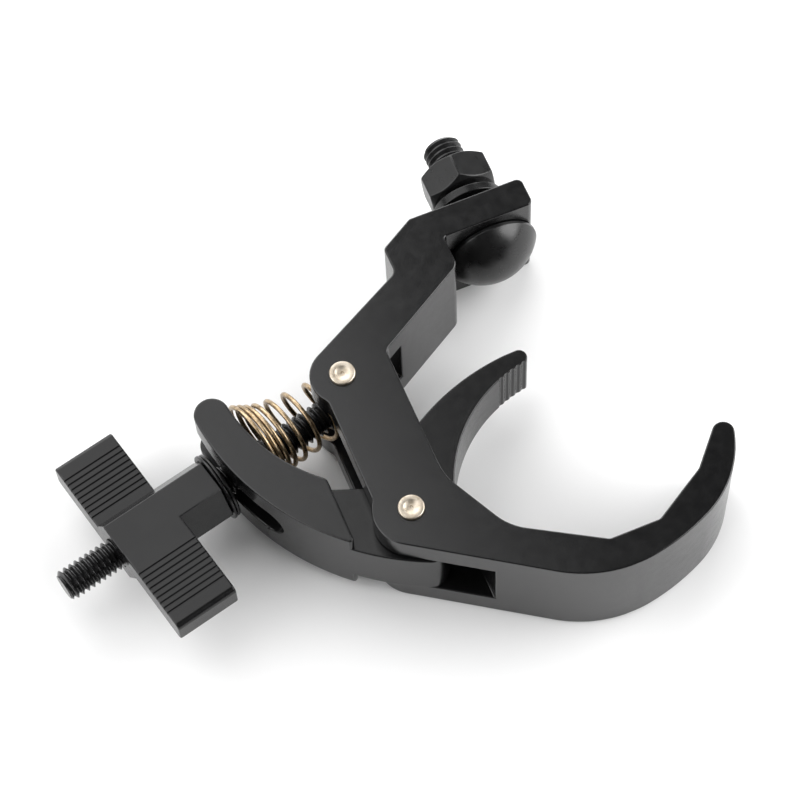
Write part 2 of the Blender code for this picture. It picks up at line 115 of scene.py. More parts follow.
# ---------------------------------------------------------------- sizes
# A circle is its centre's x and y and its radius.
SLOT_W = 16.0                  # the body's centre slot
SLOT_END_X = 12.8
LOWER_KNUCKLE_R = 9.3
UPPER_KNUCKLE_R = 7.9
WALL_X = -7.5
HOOK_CENTRE = (51.0, -3.1)     # of the hook's arc nearest the tip
HOOK_R = (27.7, 58.0, 32.0)    # its three outer arcs, from the tip to the heel
HOOK_TURNS = (-17.6, -65.3, -81.0)   # degrees where each of them starts
HOOK_TIP_R = 2.7
PLATE_Y = (63.8, 71.8)
PLATE_X1 = 58.9
PIN_R = 3.15
BORE_R = 3.6
ARM_W = 24.0
TONGUE_W = 15.2
STEP_X = -14.85
ARM_OUTER = (27.64, 48.47, 66.06)    # circle
ARM_INNER = (14.14, 49.57, 44.24)    # circle
ARM_TIP_R = 4.27
FORK_W = 9.5
FORK_AT = 208.4                # middle of the fork's inner end, degrees round ARM_OUTER
FINGER_INNER = (47.4, -8.3, 36.9)    # circle
FINGER_OUTER = (42.11, -26.88, 58.76)    # circle
FLUTES = 5                     # grip flutes near the finger's tip
FLUTES_AT = 111.3              # first flute, degrees round FINGER_INNER
FLUTE_PITCH = 2.7              # degrees
FLUTE_R = 0.85
FLUTE_PROUD = 0.55             # from the finger's face to the flute's centre
ROD_R = 4.0
EYE_R = 6.4
EYE_W = 8.6
STUD_R = 5.0
PITCH = 1.5                    # both threads
THREAD_DEPTH = 0.85
BOSS_AF = 14.7
BOSS_LEN = 11.7
WING_SPAN = 27.6
GROOVES = 9
GROOVE_PITCH = 1.5
GROOVE_DEPTH = 0.42
GROOVE_HALVES = (0.34, 0.14)   # half a groove's width at its rim and floor
GROOVE_MARGIN = 4.6            # from the wing's tip to the last groove
WIRE_R = 0.6
SPRING_R = 9.5                 # mean radius at turn 0
SPRING_TAPER = 0.44            # radius lost with each turn towards the eye
SPRING_SEAT = 5.7              # from the rod's axis to the side where all turns line up
SPRING_TURNS = (-1.8, 5.1)     # the arm's end and the eye's end
SPRING_START = 142.0           # degrees from turn 0 on to that side
SPRING_PITCH = 1.4             # between the close turns at the arm
SPRING_OPENING = 1.2           # pitch gained with each turn after SPRING_OPENS
SPRING_OPENS = 0.75            # turn
SPRING_CLOSE_S = 20.7          # along the rod, where the turns begin to open
SPRING_LEAN = 0.067            # slant of the close turns
SPRING_LEAN_GAIN = 0.315       # share by which the slant grows with each turn
NUT_AF = 17.0
NUT_TURN = 25.0


# ================================================================ outlines
def polar(centre, radius, degrees):
    """The point at this radius and direction from a centre."""
    a = math.radians(degrees)
    return (centre[0] + radius * math.cos(a), centre[1] + radius * math.sin(a))


def arc(centre, radius, start, end, step=ARC_STEP):
    """Points of an arc from start to end degrees, in either direction."""
    count = max(1, math.ceil(abs(end - start) / step))
    return [polar(centre, radius, start + (end - start) * i / count) for i in range(count + 1)]


def angle_of(centre, point):
    """Direction of a point from a centre, in degrees."""
    return math.degrees(math.atan2(point[1] - centre[1], point[0] - centre[0]))


def corner(before, vertex, after, radius):
    """A rounded corner at vertex, between the two points beside it."""
    v = Vector(vertex)
    a = (Vector(before) - v).normalized()
    b = (Vector(after) - v).normalized()
    half = a.angle(b) / 2
    centre = v + (a + b).normalized() * radius / math.sin(half)
    reach = radius / math.tan(half)
    start = angle_of(centre, v + a * reach)
    turn = (angle_of(centre, v + b * reach) - start + 180.0) % 360.0 - 180.0
    return arc(centre, radius, start, start + turn, CORNER_STEP)


def rounded(points):
    """Open polyline of (x, y, radius) whose inner vertices are rounded."""
    out = [points[0][:2]]
    for i in range(1, len(points) - 1):
        x, y, r = points[i]
        out += corner(points[i - 1][:2], (x, y), points[i + 1][:2], r) if r else [(x, y)]
    return out + [points[-1][:2]]


def clean(points, near=0.02):
    """The closed outline without points that fall on the one before."""
    out = []
    for p in points:
        if not out or math.dist(p, out[-1]) > near:
            out.append(p)
    if math.dist(out[0], out[-1]) <= near:
        out.pop()
    return out


def rounded_loop(points, radius):
    """A closed polygon with every corner rounded by the same radius."""
    out = []
    for i, p in enumerate(points):
        out += corner(points[i - 1], p, points[(i + 1) % len(points)], radius)
    return clean(out)


def circle(radius, centre=(0.0, 0.0)):
    """A closed outline of 72 points."""
    return arc(centre, radius, 0.0, 360.0 - ARC_STEP * 2, ARC_STEP * 2)


def hexagon(flats, turn=0.0):
    """Corners of a hexagon with this distance across its flats."""
    return [polar((0, 0), flats / math.sqrt(3), turn + 60.0 * i) for i in range(6)]


def circle_crossing(c1, r1, c2, r2):
    """Where two circles cross, on the left of the line c1 to c2."""
    d = math.dist(c1, c2)
    along = (r1 * r1 - r2 * r2 + d * d) / (2 * d)
    off = math.sqrt(r1 * r1 - along * along)
    ux, uy = (c2[0] - c1[0]) / d, (c2[1] - c1[1]) / d
    return (c1[0] + ux * along - uy * off, c1[1] + uy * along + ux * off)


def body_outline():
    """The clamp body seen along its extrusion, clockwise."""
    fillet = 3.0
    facet_end = (65.5, -16.95)
    cx = WALL_X - fillet
    reach = UPPER_KNUCKLE_R + fillet
    upper_fillet = (cx, UPPER_PIN[1] - math.sqrt(reach ** 2 - (cx - UPPER_PIN[0]) ** 2))
    pts = arc(upper_fillet, fillet, 0.0, angle_of(upper_fillet, UPPER_PIN), CORNER_STEP)
    pts += arc(UPPER_PIN, UPPER_KNUCKLE_R, angle_of(UPPER_PIN, upper_fillet) % 360.0, 117.8)
    pts += rounded([
        (*pts[-1], 0),
        (20.3, 59.4, 2.5),
        (20.3, 66.5, 1.5),
        (29.2, PLATE_Y[1], 1.5),
        (PLATE_X1, PLATE_Y[1], 1.7),
        (PLATE_X1, PLATE_Y[0], 1.5),
        (35.1, PLATE_Y[0], 0.8),
        (35.1, 55.3, 3.0),
        (10.35, 40.6, 2.4),
        (10.35, 4.9, 14.0),
        (19.2, -12.9, 14.0),
        (39.2, -25.05, 2.0),
        (51.9, -25.05, 2.0),
        (*facet_end, 3.0),
        (74.0, -7.9, 0),
    ])[:-1]
    r1, r2, r3 = HOOK_R
    t1, t2, t3 = HOOK_TURNS
    c1 = HOOK_CENTRE
    tip = polar(c1, r1 - HOOK_TIP_R, t1)
    sight = angle_of(facet_end, tip)
    lean = math.degrees(math.asin(HOOK_TIP_R / math.dist(facet_end, tip)))
    pts += arc(tip, HOOK_TIP_R, sight + lean + 90.0, t1, CORNER_STEP)
    c2 = polar(c1, r1 - r2, t2)
    c3 = polar(c2, r2 - r3, t3)
    pts += arc(c1, r1, t1, t2) + arc(c2, r2, t2, t3)
    span = math.dist((0, 0), c3)
    heel = angle_of((0, 0), c3) - math.degrees(math.asin((r3 - LOWER_KNUCKLE_R) / span)) - 90.0
    pts += arc(c3, r3, t3, heel)
    reach = LOWER_KNUCKLE_R + fillet
    lower_fillet = (cx, math.sqrt(reach ** 2 - cx ** 2))
    pts += arc((0, 0), LOWER_KNUCKLE_R, heel, angle_of((0, 0), lower_fillet) - 360.0)
    pts += arc(lower_fillet, fillet, angle_of(lower_fillet, (0, 0)), 0.0, CORNER_STEP)
    right = (CAD_BOX[1].x - LOWER.x) / MM
    front = (CAD_BOX[0].y - LOWER.y) / MM
    return clean([(min(x, right), max(y, front)) for x, y in pts])


def arm_outline():
    """The jaw's wide arm seen along the pins, cut off by a step at its root."""
    outer = ARM_OUTER[:2]
    inner = ARM_INNER[:2]
    tip = circle_crossing(outer, ARM_OUTER[2] - ARM_TIP_R, inner, ARM_INNER[2] + ARM_TIP_R)
    start = angle_of(outer, tip) % 360.0
    pts = arc(tip, ARM_TIP_R, angle_of(tip, inner), start, CORNER_STEP)
    foot = 360.0 - math.degrees(math.acos((STEP_X - outer[0]) / ARM_OUTER[2]))
    last = polar(outer, ARM_OUTER[2], foot)
    pts += arc(outer, ARM_OUTER[2], start, foot - 3.0, 1.5)
    rise = 360.0 - math.degrees(math.acos((STEP_X - inner[0]) / ARM_INNER[2]))
    top = polar(inner, ARM_INNER[2], rise)
    onward = rise - 4.0
    after = polar(inner, ARM_INNER[2], onward)
    pts += rounded([(*pts[-1], 0), (*last, 0.8), (*top, 2.0), (*after, 0)])[1:]
    pts += arc(inner, ARM_INNER[2], onward, angle_of(inner, tip) % 360.0, 2.0)
    return clean(pts)


def tongue_outline():
    """The jaw's narrow tongue and finger, starting inside the arm."""
    outer = ARM_OUTER[:2]
    inner = ARM_INNER[:2]
    back = ARM_OUTER[2] - 0.02           # just inside the arm's back
    pts = [polar(inner, ARM_INNER[2] + 4.0, 216.0), polar(outer, ARM_OUTER[2] - 3.0, 224.0)]
    pts += [polar(outer, back, 226.0)]
    pts += arc(outer, back, 227.0, 244.4, 1.5)
    finger = FINGER_INNER[:2]
    root_at = 166.5
    root = polar(finger, FINGER_INNER[2], root_at)
    pts += rounded([(*pts[-1], 0), (3.0, -12.9, 4.0), (*root, 0)])[1:]
    pts += arc(finger, FINGER_INNER[2], root_at, FLUTES_AT - FLUTES * FLUTE_PITCH + 2.0)
    pts += rounded([
        (*pts[-1], 0),
        (41.7, 28.2, 0.7),
        (43.8, 31.9, 2.0),
        (*polar(FINGER_OUTER[:2], FINGER_OUTER[2], 95.0), 0),
    ])[1:]
    pts += arc(FINGER_OUTER[:2], FINGER_OUTER[2], 95.5, 130.0, 1.5)
    pts += rounded([(*pts[-1], 0), (-4.5, 11.3, 5.0), (-16.0, 15.6, 0), (-22.0, 19.5, 0)])[1:]
    return clean(pts)


def wing_outline():
    """Cross-section of the wing nut's two grooved wings across its axis.

    One wing is flush with the hexagon's top flat and the other with its bottom
    flat; both end on the plane through the axis, with a fillet at the root.
    """
    half = BOSS_AF / 2
    edge = half / math.sqrt(3)
    root = edge * 2 - 0.9
    flush = half - 0.01
    sunk = half - 0.6
    one = [(0.0, sunk), (edge - 1.0, sunk), (edge - 0.4, flush)]
    one += corner((edge, flush), (WING_SPAN, flush), (WING_SPAN, 0.0), 1.6)
    one += corner((WING_SPAN, half), (WING_SPAN, 0.0), (edge * 2, 0.0), 1.2)
    one += corner((WING_SPAN, 0.0), (root, 0.0), (edge - 1.0, -half), 1.6)
    one += [(edge * 2 - 3.2, -3.0)]
    return clean(one + [(-u, -v) for u, v in one])


def comb_outline(face, side):
    """A bar over one face of a wing, with a tooth for each grip groove.

    The face lies at this height, and side is the way out of the metal.
    """
    first = WING_SPAN - GROOVE_MARGIN - (GROOVES - 1) * GROOVE_PITCH
    rim, bed = GROOVE_HALVES
    back = face + side * 0.5
    proud = face + side * 0.05
    floor = face - side * GROOVE_DEPTH
    comb = [(first - 1.0, back)]
    for i in range(GROOVES):
        u = first + i * GROOVE_PITCH
        comb += [(u - rim, proud), (u - rim, face), (u - bed, floor)]
        comb += [(u + bed, floor), (u + rim, face), (u + rim, proud)]
    comb.append((first + GROOVES * GROOVE_PITCH, back))
    return comb


# ================================================================ mesh code
def new_object(name, bm, place):
    """Put millimetre geometry into the row frame as an object at the origin."""
    bmesh.ops.recalc_face_normals(bm, faces=bm.faces)
    if bm.calc_volume(signed=True) < 0:
        bmesh.ops.reverse_faces(bm, faces=bm.faces)
    bmesh.ops.transform(bm, matrix=place @ Matrix.Scale(MM, 4), verts=bm.verts)
    mesh = bpy.data.meshes.new(name)
    bm.to_mesh(mesh)
    bm.free()
    obj = bpy.data.objects.new(name, mesh)
    bpy.context.scene.collection.objects.link(obj)
    return obj


def skin(bm, rings):
    """Join closed rings of points one after another and close both ends."""
    count = len(rings[0])
    for one, two in zip(rings, rings[1:]):
        for k in range(count):
            j = (k + 1) % count
            bm.faces.new((one[k], one[j], two[j], two[k]))
    bm.faces.new(rings[0])
    bm.faces.new(rings[-1])


def prism(name, outline, low, high, place=PLAN):
    """Extrude an outline in the place's XY plane from z = low to z = high."""
    bm = bmesh.new()
    face = bm.faces.new([bm.verts.new((x, y, low)) for x, y in outline])
    extruded = bmesh.ops.extrude_face_region(bm, geom=[face])
    top = [v for v in extruded["geom"] if isinstance(v, bmesh.types.BMVert)]
    bmesh.ops.translate(bm, verts=top, vec=(0, 0, high - low))
    return new_object(name, bm, place)


def eased_prism(name, outline, low, high, radius, place=PLAN, steps=3):
    """Extrude a clean outline, with both rims rounded by insetting it."""
    count = len(outline)
    pairs = [(outline[i - 1], outline[i]) for i in range(count)]
    area = sum(one[0] * two[1] - two[0] * one[1] for one, two in pairs)
    inwards = []
    for i, p in enumerate(outline):
        a = (Vector(p) - Vector(outline[i - 1])).normalized()
        b = (Vector(outline[(i + 1) % count]) - Vector(p)).normalized()
        n = Vector((-a.y - b.y, a.x + b.x)) / (1.0 + a.dot(b))
        inwards.append(n if area > 0 else -n)
    bm = bmesh.new()
    rings = []
    turns = [math.pi / 2 * i / steps for i in range(steps + 1)]
    levels = [(low + radius * (1 - math.sin(t)), radius * (1 - math.cos(t))) for t in reversed(turns)]
    levels += [(high - radius * (1 - math.sin(t)), radius * (1 - math.cos(t))) for t in turns]
    for z, inset in levels:
        moved = [(p[0] + n.x * inset, p[1] + n.y * inset, z) for p, n in zip(outline, inwards)]
        rings.append([bm.verts.new(point) for point in moved])
    skin(bm, rings)
    return new_object(name, bm, place)


def turned(name, profile, place, segments=96):
    """Spin an (r, h) profile about the place's Z axis."""
    bm = bmesh.new()
    verts = [bm.verts.new((r, 0, h)) for r, h in profile]
    edges = [bm.edges.new(pair) for pair in zip(verts, verts[1:])]
    if min(r for r, h in profile) > 1e-6:
        edges.append(bm.edges.new((verts[-1], verts[0])))
    bmesh.ops.spin(bm, geom=verts + edges, cent=(0, 0, 0), axis=(0, 0, 1), angle=math.tau,
                   steps=segments, use_merge=True, use_duplicate=False)
    bmesh.ops.remove_doubles(bm, verts=bm.verts, dist=1e-4)
    return new_object(name, bm, place)


def applied(obj):
    """Replace the object's mesh by the result of its modifiers."""
    graph = bpy.context.evaluated_depsgraph_get()
    mesh = bpy.data.meshes.new_from_object(obj.evaluated_get(graph))
    obj.modifiers.clear()
    obj.data = mesh
    return obj


def combine(obj, tools, operation="DIFFERENCE"):
    """Boolean the tools into the object and remove them."""
    for tool in tools:
        mod = obj.modifiers.new(operation, "BOOLEAN")
        mod.operation = operation
        mod.object = tool
        mod.solver = "EXACT"
    bpy.context.view_layer.update()
    applied(obj)
    for tool in tools:
        bpy.data.objects.remove(tool, do_unlink=True)
    return obj


def ease(obj, width, segments=3, angle=38.0, between=None):
    """Round every edge sharper than the angle, or those between two heights."""
    mod = obj.modifiers.new("ease", "BEVEL")
    mod.width = width * MM
    mod.segments = segments
    mod.limit_method = "ANGLE"
    mod.angle_limit = math.radians(angle)
    mod.harden_normals = False
    mod.use_clamp_overlap = False
    if between:
        low, high = (height * MM for height in between)
        mod.limit_method = "WEIGHT"
        obj.data.attributes.new("bevel_weight_edge", "FLOAT", "EDGE")
        bm = bmesh.new()
        bm.from_mesh(obj.data)
        weight = bm.edges.layers.float["bevel_weight_edge"]
        for edge in bm.edges:
            inside = all(low <= v.co.z <= high for v in edge.verts)
            if inside and edge.is_manifold and edge.calc_face_angle() > math.radians(angle):
                edge[weight] = 1.0
        bm.to_mesh(obj.data)
        bm.free()
    bpy.context.view_layer.update()
    return applied(obj)


def shade(obj, angle=30.0):
    """Smooth shading in which the large flats keep their own direction."""
    obj.data.shade_smooth()
    obj.data.set_sharp_from_angle(angle=math.radians(angle))
    mod = obj.modifiers.new("weigh", "WEIGHTED_NORMAL")
    mod.keep_sharp = True
    mod.weight = 100
    bpy.context.view_layer.update()
    return applied(obj)


def thread(name, radius, low, high, place, sides=56, tip=0.9):
    """A right-hand thread about the place's Z axis, with a chamfered end.

    Its faces follow the helix, closed by a fan at each end, and a turned
    blank cuts it to length.
    """
    root = radius - THREAD_DEPTH
    flank = radius - 0.03
    profile = [(0.0, root), (0.1, root), (0.46, flank), (0.54, radius), (0.62, flank), (0.98, root)]
    spare = 3
    turns = math.ceil((high - low) / PITCH) + spare + 1
    bm = bmesh.new()
    grid = []
    for a in range(turns * sides + 1):
        angle = math.tau * a / sides
        x, y = math.cos(angle), math.sin(angle)
        start = low + PITCH * (a / sides - spare)
        grid.append([bm.verts.new((r * x, r * y, start + PITCH * share)) for share, r in profile])
    count = len(profile)
    for a in range(len(grid) - sides - 1):
        for p in range(count):
            q = (p + 1) % count
            shift = 0 if q else sides
            bm.faces.new((grid[a][p], grid[a + 1][p], grid[a + 1 + shift][q], grid[a + shift][q]))
    bmesh.ops.delete(bm, geom=[v for v in bm.verts if not v.link_faces], context="VERTS")
    # an open end climbs one turn, so the middle of its fan is half a turn in
    for middle in (low - PITCH * (spare - 0.5), low + PITCH * (turns - spare - 0.5)):
        centre = bm.verts.new((0.0, 0.0, middle))
        open_edges = [e for e in bm.edges if e.is_boundary]
        for edge in open_edges:
            if abs(edge.verts[0].co.z - middle) < PITCH * 1.6:
                bm.faces.new((centre, *edge.verts))
    rod = new_object(name, bm, place)
    wide = radius + 1.0
    blank = [(0.0, low), (wide, low), (wide, high - tip - 1.0), (radius - tip, high), (0.0, high)]
    combine(rod, [turned("blank_tool", blank, place)], "INTERSECT")
    return shade(rod, 32.0)


# ================================================================ materials
class Nodes:
    """A material's node tree with short calls for the nodes used here."""

    def __init__(self, name, colour, roughness, metallic):
        self.material = bpy.data.materials.new(name)
        self.material.use_nodes = True
        self.tree = self.material.node_tree
        self.shader = self.tree.nodes["Principled BSDF"]
        self.shader.inputs["Base Color"].default_value = (*colour, 1.0)
        self.shader.inputs["Roughness"].default_value = roughness
        self.shader.inputs["Metallic"].default_value = metallic
        self.place = self.tree.nodes.new("ShaderNodeTexCoord").outputs["Object"]

    def link(self, source, target):
        self.tree.links.new(source, target)

    def noise(self, size_mm, detail=3.0, roughness=0.55):
        """Noise whose features are about the given size."""
        node = self.tree.nodes.new("ShaderNodeTexNoise")
        node.inputs["Scale"].default_value = 1.0 / (size_mm * MM)
        node.inputs["Detail"].default_value = detail
        node.inputs["Roughness"].default_value = roughness
        self.link(self.place, node.inputs["Vector"])
        return node.outputs["Fac"]

    def spread(self, source, low, high, start=0.3, end=0.7):
        """Map the source's start..end to low..high."""
        node = self.tree.nodes.new("ShaderNodeMapRange")
        node.inputs["From Min"].default_value = start
        node.inputs["From Max"].default_value = end
        node.inputs["To Min"].default_value = low
        node.inputs["To Max"].default_value = high
        self.link(source, node.inputs["Value"])
        return node.outputs["Result"]

    def colours(self, source, low, high, start=0.35, end=0.65):
        ramp = self.tree.nodes.new("ShaderNodeValToRGB")
        ramp.color_ramp.elements[0].position = start
        ramp.color_ramp.elements[0].color = (*low, 1.0)
        ramp.color_ramp.elements[1].position = end
        ramp.color_ramp.elements[1].color = (*high, 1.0)
        self.link(source, ramp.inputs["Fac"])
        return ramp.outputs["Color"]

    def bump(self, source, strength, depth_mm, under=None):
        node = self.tree.nodes.new("ShaderNodeBump")
        node.inputs["Strength"].default_value = strength
        node.inputs["Distance"].default_value = depth_mm * MM
        self.link(source, node.inputs["Height"])
        if under:
            self.link(under, node.inputs["Normal"])
        return node.outputs["Normal"]

    def edges(self, reach_mm):
        """How strongly the surface turns within the reach: 0 on flats, more on edges."""
        round_normal = self.tree.nodes.new("ShaderNodeBevel")
        round_normal.samples = 4
        round_normal.inputs["Radius"].default_value = reach_mm * MM
        plain = self.tree.nodes.new("ShaderNodeNewGeometry")
        dot = self.tree.nodes.new("ShaderNodeVectorMath")
        dot.operation = "DOT_PRODUCT"
        self.link(round_normal.outputs["Normal"], dot.inputs[0])
        self.link(plain.outputs["Normal"], dot.inputs[1])
        return self.spread(dot.outputs["Value"], 1.0, 0.0, 0.86, 0.995)

    def mix(self, share, low, high):
        node = self.tree.nodes.new("ShaderNodeMix")
        node.data_type = "RGBA"
        self.link(share, node.inputs["Factor"])
        self.link(low, node.inputs["A"])
        node.inputs["B"].default_value = (*high, 1.0)
        return node.outputs["Result"]


def coated_metal(name, dark, light, rough, grain_mm, grain, gloss=1.5):
    """Black coated metal: fine grained coat, faint mottling, and a painted highlight that lightens the
    edges.
    """
    # painted highlight: a paler grey mixed in along the edges, standing in for thin edge reflections
    edge_highlight_colour = (0.014, 0.014, 0.0145)
    n = Nodes(name, dark, rough[0], 0.0)
    n.shader.inputs["IOR"].default_value = gloss
    mottle = n.noise(9.0, 2.0)
    fine = n.noise(grain_mm, 4.0, 0.6)
    base = n.colours(mottle, dark, light)
    # painted highlight: the edge mask lightens the coat's colour towards that paler grey
    edge_highlight_share = n.spread(n.edges(0.55), 0.0, 0.35, 0.15, 1.0)
    n.link(n.mix(edge_highlight_share, base, edge_highlight_colour), n.shader.inputs["Base Color"])
    n.link(n.spread(n.noise(2.2, 3.0), rough[0], rough[1]), n.shader.inputs["Roughness"])
    slow = n.bump(mottle, 0.12, 0.05)
    n.link(n.bump(fine, grain, grain_mm * 0.16, slow), n.shader.inputs["Normal"])
    return n.material


def blackened_steel(name, colour, rough):
    """Oiled black oxide on machined steel, with turning marks and a thin sheen."""
    n = Nodes(name, colour, rough[0], 0.35)
    n.shader.inputs["IOR"].default_value = 1.6
    fine = n.noise(0.5, 4.0, 0.65)
    light = tuple(c * 1.9 + 0.004 for c in colour)
    n.link(n.colours(n.noise(3.0), colour, light), n.shader.inputs["Base Color"])
    n.link(n.spread(fine, rough[0], rough[1]), n.shader.inputs["Roughness"])
    n.link(n.bump(fine, 0.35, 0.03), n.shader.inputs["Normal"])
    return n.material


def nickel(name):
    """Nickel plated rivet: warm white metal, slightly orange-peeled and stained."""
    n = Nodes(name, (0.5, 0.44, 0.36), 0.4, 1.0)
    stain = n.colours(n.noise(1.6, 5.0, 0.7), (0.36, 0.3, 0.22), (0.56, 0.5, 0.42), 0.32, 0.62)
    n.link(stain, n.shader.inputs["Base Color"])
    n.link(n.spread(n.noise(0.7, 3.0), 0.36, 0.5), n.shader.inputs["Roughness"])
    n.link(n.bump(n.noise(0.9, 3.0), 0.2, 0.03), n.shader.inputs["Normal"])
    return n.material


def spring_wire(name):
    """Yellow passivated wire, drawn lengthwise, darker in places."""
    n = Nodes(name, (0.3, 0.21, 0.12), 0.3, 1.0)
    brass = n.colours(n.noise(1.1, 4.0, 0.65), (0.24, 0.17, 0.095), (0.5, 0.385, 0.25))
    n.link(brass, n.shader.inputs["Base Color"])
    n.link(n.spread(n.noise(0.35, 3.0), 0.22, 0.42), n.shader.inputs["Roughness"])
    n.link(n.bump(n.noise(0.3, 3.0), 0.25, 0.02), n.shader.inputs["Normal"])
    return n.material


COAT = ((0.0036, 0.0036, 0.0038), (0.0052, 0.0052, 0.0054))
NUT_BLACK = ((0.005, 0.005, 0.0052), (0.008, 0.008, 0.0082))
BOLT_BLACK = ((0.0045, 0.0045, 0.0046), (0.006, 0.006, 0.0061))
BODY_COAT = coated_metal("body_coat", *COAT, (0.19, 0.25), 0.4, 0.22, 1.52)
JAW_COAT = coated_metal("jaw_coat", *COAT, (0.2, 0.26), 0.4, 0.22, 1.46)
WING_COAT = coated_metal("wing_coat", *COAT, (0.21, 0.27), 0.3, 0.08, 1.42)
NUT_COAT = coated_metal("nut_coat", *NUT_BLACK, (0.26, 0.34), 0.5, 0.08, 1.42)
WASHER_COAT = coated_metal("washer_coat", *COAT, (0.24, 0.32), 0.5, 0.08, 1.4)
BOLT_COAT = coated_metal("bolt_coat", *BOLT_BLACK, (0.26, 0.34), 0.8, 0.06)
THREAD_STEEL = blackened_steel("thread_steel", (0.006, 0.006, 0.0063), (0.16, 0.30))
STUD_STEEL = blackened_steel("stud_steel", (0.010, 0.010, 0.0105), (0.24, 0.38))
NICKEL = nickel("nickel")
WIRE = spring_wire("spring_wire")


def finish_piece(obj, material, slot, body, *nodes):
    """Give the piece its material and put it in its CAD node's place."""
    obj.data.materials.clear()
    obj.data.materials.append(material)
    if body:
        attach(obj, body)
    if nodes:
        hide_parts(*nodes)
    return obj


# ================================================================ pieces
def make_body():
    """Extrusion with a milled centre slot, a drilled plate and eased edges."""
    body = prism("body_shell", body_outline(), 0.0, BODY_W)
    low = MID_Z - SLOT_W / 2
    high = MID_Z + SLOT_W / 2
    # open on the wall's side, and right through the upright where the finger passes
    slot = [(SLOT_END_X, -34.0), (SLOT_END_X, 1.5), (24.0, 1.5), (24.0, 27.3),
            (8.0, 56.2), (-30.0, 56.2), (-30.0, -34.0)]
    tools = [prism("slot_tool", slot, low, high)]
    plate_hole = circle(STUD_R + 0.3)
    tools.append(prism("plate_tool", plate_hole, PLATE_Y[0] - 2.0, PLATE_Y[1] + 2.0, STAND @ ALONG_Y))
    combine(body, tools)
    ease(body, 0.4)
    # the pins fill their bores, so the bores' rims stay sharp
    bores = []
    for place in ((0.0, 0.0), UPPER_PIN):
        bores.append(prism("bore_tool", circle(PIN_R + 0.06, place), -2.0, BODY_W + 2.0))
    combine(body, bores)
    finish_piece(shade(body), BODY_COAT, "body_black", "frame", "clamp_body")


def make_jaw():
    """Wide forked arm on a narrow tongue that ends in the ribbed finger."""
    jaw = eased_prism("jaw_shell", arm_outline(), MID_Z - ARM_W / 2, MID_Z + ARM_W / 2, 0.5)
    tongue = eased_prism("tongue", tongue_outline(), MID_Z - TONGUE_W / 2, MID_Z + TONGUE_W / 2, 0.4)
    combine(jaw, [tongue], "UNION")
    # the fork is open at the arm's tip and round at its inner end
    centre = Vector(polar(ARM_OUTER[:2], ARM_OUTER[2], FORK_AT))
    along = Vector(polar((0, 0), 1.0, FORK_AT - 90.0))
    across = Vector(polar((0, 0), 1.0, FORK_AT))
    outside, inside, length = across * 12, across * -30, along * 60    # well past the arm
    ends = [centre + outside, centre + outside + length, centre + inside + length, centre + inside]
    fork = prism("fork_tool", [tuple(p) for p in ends], MID_Z - FORK_W / 2, MID_Z + FORK_W / 2)
    turn = PLAN @ Matrix.Translation(Vector((centre.x, centre.y, MID_Z)) * MM)
    turn = turn @ Matrix.Rotation(math.radians(FORK_AT), 4, "Z") @ ALONG_X
    tools = [fork, prism("fork_end_tool", circle(FORK_W / 2), -30.0, 12.0, turn)]
    tools.append(prism("jaw_bore_tool", circle(BORE_R), -2.0, BODY_W + 2.0))
    for i in range(FLUTES):
        at = polar(FINGER_INNER[:2], FINGER_INNER[2] - FLUTE_PROUD, FLUTES_AT - i * FLUTE_PITCH)
        tools.append(prism("flute_tool", circle(FLUTE_R, at), -2.0, BODY_W + 2.0))
    combine(jaw, tools)
    half = FORK_W / 2 + 0.01
    ease(jaw, 0.4, angle=50.0, between=(MID_Z - half, MID_Z + half))
    finish_piece(shade(jaw, 32.0), JAW_COAT, "jaw_black", "jaw", "jaw_lever")


def make_pins():
    """Riveted pins: eased rim, flat land, shallow dish and a centre mark."""
    for name, place in (("lower_pin", LOWER), ("upper_pin", UPPER)):
        low, high = (corner_at.z / MM for corner_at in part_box(name))
        side = [(0.0, low), (PIN_R, low), (PIN_R, high - 0.4)]
        side += arc((PIN_R - 0.4, high - 0.4), 0.4, 0.0, 78.0, 13.0)
        dish = [(1.95, high - 0.02), (1.75, high - 0.1), (1.3, high - 0.34), (0.8, high - 0.44)]
        mark = [(0.5, high - 0.46), (0.38, high - 0.7), (0.0, high - 0.76)]
        pin = turned(name + "_head", side + dish + mark, Matrix.Translation((place.x, place.y, 0)))
        finish_piece(shade(pin, 50.0), NICKEL, "pin_steel", "frame", name)


def make_swing_bolt():
    """Threaded rod with a turned eye."""
    high = extent("swing_bolt", SWING, 0)[1]
    rod = thread("swing_rod", ROD_R, EYE_R - 1.2, high, SWING @ ALONG_X)
    finish_piece(rod, THREAD_STEEL, "thread_black", "swing bolt", "swing_bolt")
    eye = eased_prism("swing_eye", circle(EYE_R), -EYE_W / 2, EYE_W / 2, 0.4, SWING)
    combine(eye, [prism("eye_tool", circle(BORE_R), -EYE_W, EYE_W, SWING)])
    finish_piece(shade(eye), THREAD_STEEL, "thread_black", "swing bolt")


def spring_path(steps=64):
    """The wire's centreline in the swing bolt's frame, arm end first.

    The turns lie close together at the arm and open towards the eye.
    """
    path = []
    first, last = SPRING_TURNS
    count = round((last - first) * steps)
    for i in range(count + 1):
        q = first + (last - first) * i / count
        opened = max(q - SPRING_OPENS, 0.0)
        r = SPRING_R - SPRING_TAPER * q
        a = math.radians(360.0 * q - SPRING_START)
        lean = SPRING_LEAN * (1.0 + SPRING_LEAN_GAIN * max(q, 0.0)) * r * math.cos(a)
        s = SPRING_CLOSE_S - SPRING_PITCH * (q - SPRING_OPENS) - SPRING_OPENING / 2 * opened ** 2 - lean
        path.append(Vector((s, SPRING_SEAT - r + r * math.cos(a), r * math.sin(a))))
    return path


